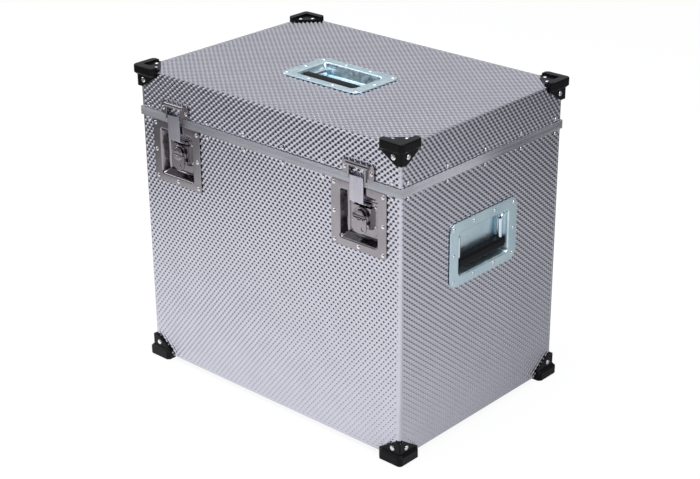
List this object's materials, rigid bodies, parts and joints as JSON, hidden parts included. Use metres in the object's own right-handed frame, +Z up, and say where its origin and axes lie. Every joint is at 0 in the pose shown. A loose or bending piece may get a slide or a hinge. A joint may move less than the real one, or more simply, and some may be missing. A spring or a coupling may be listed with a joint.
{
  "type": "tripod head case",
  "caption": "Metal-clad plywood case with a rear-hinged lid, recessed rotary front latches, folding side and lid handles, stacking plastic corners and a foam lining.",
  "frame": {"origin": "middle of the footprint, on the surface that the feet stand on", "axes": "+Z up, -Y out of the front with the latches, +X to the right seen from the front"},
  "size_m": [0.536, 0.382, 0.4925],
  "materials": {
    "embossed_aluminium": "bright embossed sheet",
    "rim_aluminium": "satin",
    "plywood": "bare birch",
    "corner_plastic": "moulded black",
    "rivet_metal": "bright",
    "foam": "open-cell charcoal foam",
    "zinc_plate": "blue-bright zinc plated",
    "bright_rod": "bright plated",
    "grip_plastic": "moulded black",
    "spring_wire": "drawn wire",
    "hinge_steel": "satin",
    "link_steel": "satin",
    "latch_steel": "nickel plated"
  },
  "bodies": {
    "base": {"base_back_panel": "plywood", "base_floor_panel": "plywood", "base_front_panel": "plywood", "base_left_panel": "plywood", "base_right_panel": "plywood", "base_rim": "rim_aluminium", "base_rivets": "rivet_metal", "base_skin": "embossed_aluminium", "foam_floor_pad": "foam", "foam_wall_pads": "foam", "foot_back_left": "corner_plastic", "foot_back_right": "corner_plastic", "foot_front_left": "corner_plastic", "foot_front_right": "corner_plastic", "hinge_pins": "hinge_steel", "left_handle_dish": "zinc_plate", "left_handle_springs": "spring_wire", "left_hinge_lower_leaf": "hinge_steel", "left_latch_body": "latch_steel", "left_latch_pan": "latch_steel", "right_handle_dish": "zinc_plate", "right_handle_springs": "spring_wire", "right_hinge_lower_leaf": "hinge_steel", "right_latch_body": "latch_steel", "right_latch_pan": "latch_steel"},
    "lid": {"left_hinge_upper_leaf": "hinge_steel", "left_keeper": "latch_steel", "lid_back_panel": "plywood", "lid_corner_back_left": "corner_plastic", "lid_corner_back_right": "corner_plastic", "lid_corner_front_left": "corner_plastic", "lid_corner_front_right": "corner_plastic", "lid_foam_pad": "foam", "lid_front_panel": "plywood", "lid_handle_dish": "zinc_plate", "lid_handle_springs": "spring_wire", "lid_left_panel": "plywood", "lid_right_panel": "plywood", "lid_rim": "rim_aluminium", "lid_rivets": "rivet_metal", "lid_skin": "embossed_aluminium", "lid_top_panel": "plywood", "right_hinge_upper_leaf": "hinge_steel", "right_keeper": "latch_steel"},
    "left_handle": {"left_handle_bail": "bright_rod", "left_handle_grip": "grip_plastic"},
    "left_latch_carrier": {"left_latch_carrier": "latch_steel"},
    "left_latch_knob": {"left_latch_knob": "latch_steel"},
    "left_latch_link": {"left_latch_link": "link_steel"},
    "left_latch_wing": {"left_latch_wing": "latch_steel"},
    "lid_handle": {"lid_handle_bail": "bright_rod", "lid_handle_grip": "grip_plastic"},
    "right_handle": {"right_handle_bail": "bright_rod", "right_handle_grip": "grip_plastic"},
    "right_latch_carrier": {"right_latch_carrier": "latch_steel"},
    "right_latch_knob": {"right_latch_knob": "latch_steel"},
    "right_latch_link": {"right_latch_link": "link_steel"},
    "right_latch_wing": {"right_latch_wing": "latch_steel"}
  },
  "joints": [
    {"name": "lid_hinge", "type": "hinge", "parent": "base", "child": "lid", "pos_m": [0, 0.1877, 0.42], "axis": [-1, 0, 0], "range_deg": [0, 100]},
    {"name": "left_latch_turn", "type": "hinge", "parent": "base", "child": "left_latch_knob", "pos_m": [-0.184, -0.183, 0.3651], "axis": [0, -1, 0], "range_deg": [0, 180]},
    {"name": "left_latch_slide", "type": "slide", "parent": "base", "child": "left_latch_carrier", "axis": [0, 0, 1], "range_m": [0, 0.006]},
    {"name": "left_latch_link_tilt", "type": "hinge", "parent": "left_latch_carrier", "child": "left_latch_link", "pos_m": [-0.184, -0.1744, 0.3826], "axis": [1, 0, 0], "range_deg": [0, 40]},
    {"name": "left_latch_wing_fold", "type": "hinge", "parent": "left_latch_knob", "child": "left_latch_wing", "pos_m": [-0.184, -0.1823, 0.3666], "axis": [-1, 0, 0], "range_deg": [0, 90]},
    {"name": "right_latch_turn", "type": "hinge", "parent": "base", "child": "right_latch_knob", "pos_m": [0.184, -0.183, 0.3651], "axis": [0, -1, 0], "range_deg": [0, 180]},
    {"name": "right_latch_slide", "type": "slide", "parent": "base", "child": "right_latch_carrier", "axis": [0, 0, 1], "range_m": [0, 0.006]},
    {"name": "right_latch_link_tilt", "type": "hinge", "parent": "right_latch_carrier", "child": "right_latch_link", "pos_m": [0.184, -0.1744, 0.3826], "axis": [1, 0, 0], "range_deg": [0, 40]},
    {"name": "right_latch_wing_fold", "type": "hinge", "parent": "right_latch_knob", "child": "right_latch_wing", "pos_m": [0.184, -0.1823, 0.3666], "axis": [-1, 0, 0], "range_deg": [0, 90]},
    {"name": "left_handle_lift", "type": "hinge", "parent": "base", "child": "left_handle", "pos_m": [-0.252, 0, 0.313], "axis": [0, 1, 0], "range_deg": [0, 90], "stiffness_Nm_per_rad": 0.12, "springref_deg": -34.38},
    {"name": "right_handle_lift", "type": "hinge", "parent": "base", "child": "right_handle", "pos_m": [0.252, 0, 0.313], "axis": [0, -1, 0], "range_deg": [0, 90], "stiffness_Nm_per_rad": 0.12, "springref_deg": -34.38},
    {"name": "lid_handle_lift", "type": "hinge", "parent": "lid", "child": "lid_handle", "pos_m": [-0.004, 0.01, 0.478], "axis": [-1, 0, 0], "range_deg": [0, 90], "stiffness_Nm_per_rad": 0.12, "springref_deg": -34.38}
  ],
  "couplings": [
    {"joint": "left_latch_slide", "follows": "left_latch_turn", "m_per_rad": 0.0019099},
    {"joint": "right_latch_slide", "follows": "right_latch_turn", "m_per_rad": 0.0019099}
  ]
}
